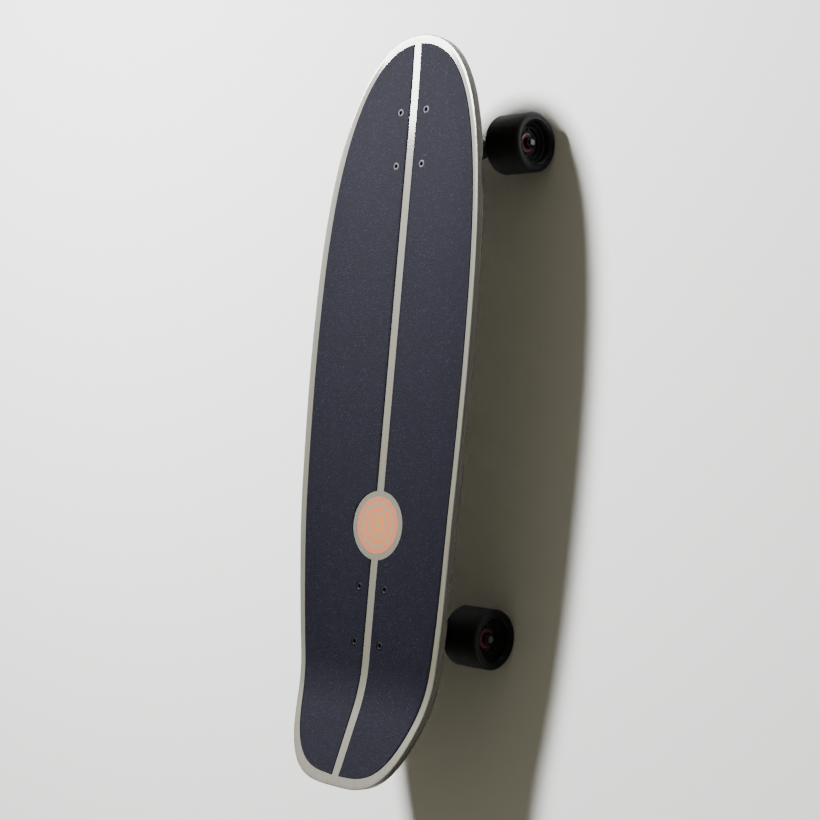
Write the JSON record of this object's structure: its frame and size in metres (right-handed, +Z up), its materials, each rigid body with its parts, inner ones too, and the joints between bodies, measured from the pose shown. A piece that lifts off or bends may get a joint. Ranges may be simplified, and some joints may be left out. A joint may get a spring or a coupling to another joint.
{
  "type": "surf skateboard",
  "caption": "Surf skateboard: a pressed ply deck with a split grip sheet on a sprung swivelling front truck and a kingpin rear truck, with soft wheels.",
  "frame": {"origin": "on the ground under the middle of the deck's length and width, standing on its wheels", "axes": "+X to the nose, +Y to the rider's left, +Z up"},
  "size_m": [0.868, 0.2572, 0.1621],
  "materials": {
    "deck": "satin lacquer over pale maple",
    "grip": "fine black grit",
    "deck_bolt": "satin steel, dark in the socket",
    "dark_steel": "black oxide",
    "steel": "zinc plated",
    "casting": "satin black coat on a casting",
    "riser": "matte black",
    "spring": "drawn spring wire",
    "bushing": "cast urethane",
    "pivot_cup": "matte urethane",
    "wheel": "satin black urethane",
    "wheel_core": "moulded black nylon",
    "bearing": "steel races with a red shield"
  },
  "bodies": {
    "deck": {"deck": "deck", "grip_left": "grip", "grip_right": "grip", "front_deck_bolt_1": "deck_bolt", "front_deck_nut_1": "dark_steel", "front_deck_bolt_2": "deck_bolt", "front_deck_nut_2": "dark_steel", "front_deck_bolt_3": "deck_bolt", "front_deck_nut_3": "dark_steel", "front_deck_bolt_4": "deck_bolt", "front_deck_nut_4": "dark_steel", "rear_deck_bolt_1": "dark_steel", "rear_deck_nut_1": "dark_steel", "rear_deck_bolt_2": "dark_steel", "rear_deck_nut_2": "dark_steel", "rear_deck_bolt_3": "dark_steel", "rear_deck_nut_3": "dark_steel", "rear_deck_bolt_4": "dark_steel", "rear_deck_nut_4": "dark_steel", "front_riser": "riser", "rear_riser": "riser", "front_base_plate": "casting", "rear_base_plate": "casting", "pivot_bolt": "dark_steel", "pivot_sleeve": "steel", "thrust_bearing": "steel", "spring_cap": "casting", "pivot_nut": "steel", "rear_kingpin": "dark_steel", "rear_kingpin_nut": "steel", "rear_board_bushing": "bushing", "rear_road_bushing": "bushing", "rear_cup_washer": "steel", "rear_pivot_cup": "pivot_cup"},
    "swing_arm": {"swing_arm": "casting", "return_spring": "spring", "front_kingpin": "dark_steel", "front_kingpin_nut": "steel", "front_board_bushing": "bushing", "front_road_bushing": "bushing", "front_cup_washer": "steel", "front_pivot_cup": "pivot_cup"},
    "front_hanger": {"front_hanger": "casting", "front_left_axle_nut": "steel", "front_right_axle_nut": "steel"},
    "rear_hanger": {"rear_hanger": "casting", "rear_left_axle_nut": "steel", "rear_right_axle_nut": "steel"},
    "front_left_wheel": {"front_left_tyre": "wheel", "front_left_core": "wheel_core", "front_left_bearings": "bearing"},
    "front_right_wheel": {"front_right_tyre": "wheel", "front_right_core": "wheel_core", "front_right_bearings": "bearing"},
    "rear_left_wheel": {"rear_left_tyre": "wheel", "rear_left_core": "wheel_core", "rear_left_bearings": "bearing"},
    "rear_right_wheel": {"rear_right_tyre": "wheel", "rear_right_core": "wheel_core", "rear_right_bearings": "bearing"}
  },
  "joints": [
    {"name": "front_steer", "type": "hinge", "parent": "deck", "child": "swing_arm", "pos_m": [0.25464, 0, 0.1052], "axis": [0.1736, 0, 0.9848], "range_deg": [-25, 25], "stiffness_Nm_per_rad": 12, "deforming": ["return_spring"]},
    {"name": "front_lean", "type": "hinge", "parent": "swing_arm", "child": "front_hanger", "pos_m": [0.34564, 0, 0.0837], "axis": [0.9337, 0, 0.358], "range_deg": [-14, 14], "stiffness_Nm_per_rad": 60, "deforming": ["front_board_bushing", "front_road_bushing"]},
    {"name": "rear_lean", "type": "hinge", "parent": "deck", "child": "rear_hanger", "pos_m": [-0.28331, 0, 0.0837], "axis": [-0.9337, 0, 0.358], "range_deg": [-14, 14], "stiffness_Nm_per_rad": 60, "deforming": ["rear_board_bushing", "rear_road_bushing"]},
    {"name": "front_left_spin", "type": "hinge", "parent": "front_hanger", "child": "front_left_wheel", "pos_m": [0.31789, 0.088, 0.0347], "axis": [0, 1, 0], "continuous": true},
    {"name": "front_right_spin", "type": "hinge", "parent": "front_hanger", "child": "front_right_wheel", "pos_m": [0.31789, -0.088, 0.0347], "axis": [0, 1, 0], "continuous": true},
    {"name": "rear_left_spin", "type": "hinge", "parent": "rear_hanger", "child": "rear_left_wheel", "pos_m": [-0.25556, 0.088, 0.0347], "axis": [0, 1, 0], "continuous": true},
    {"name": "rear_right_spin", "type": "hinge", "parent": "rear_hanger", "child": "rear_right_wheel", "pos_m": [-0.25556, -0.088, 0.0347], "axis": [0, 1, 0], "continuous": true}
  ]
}
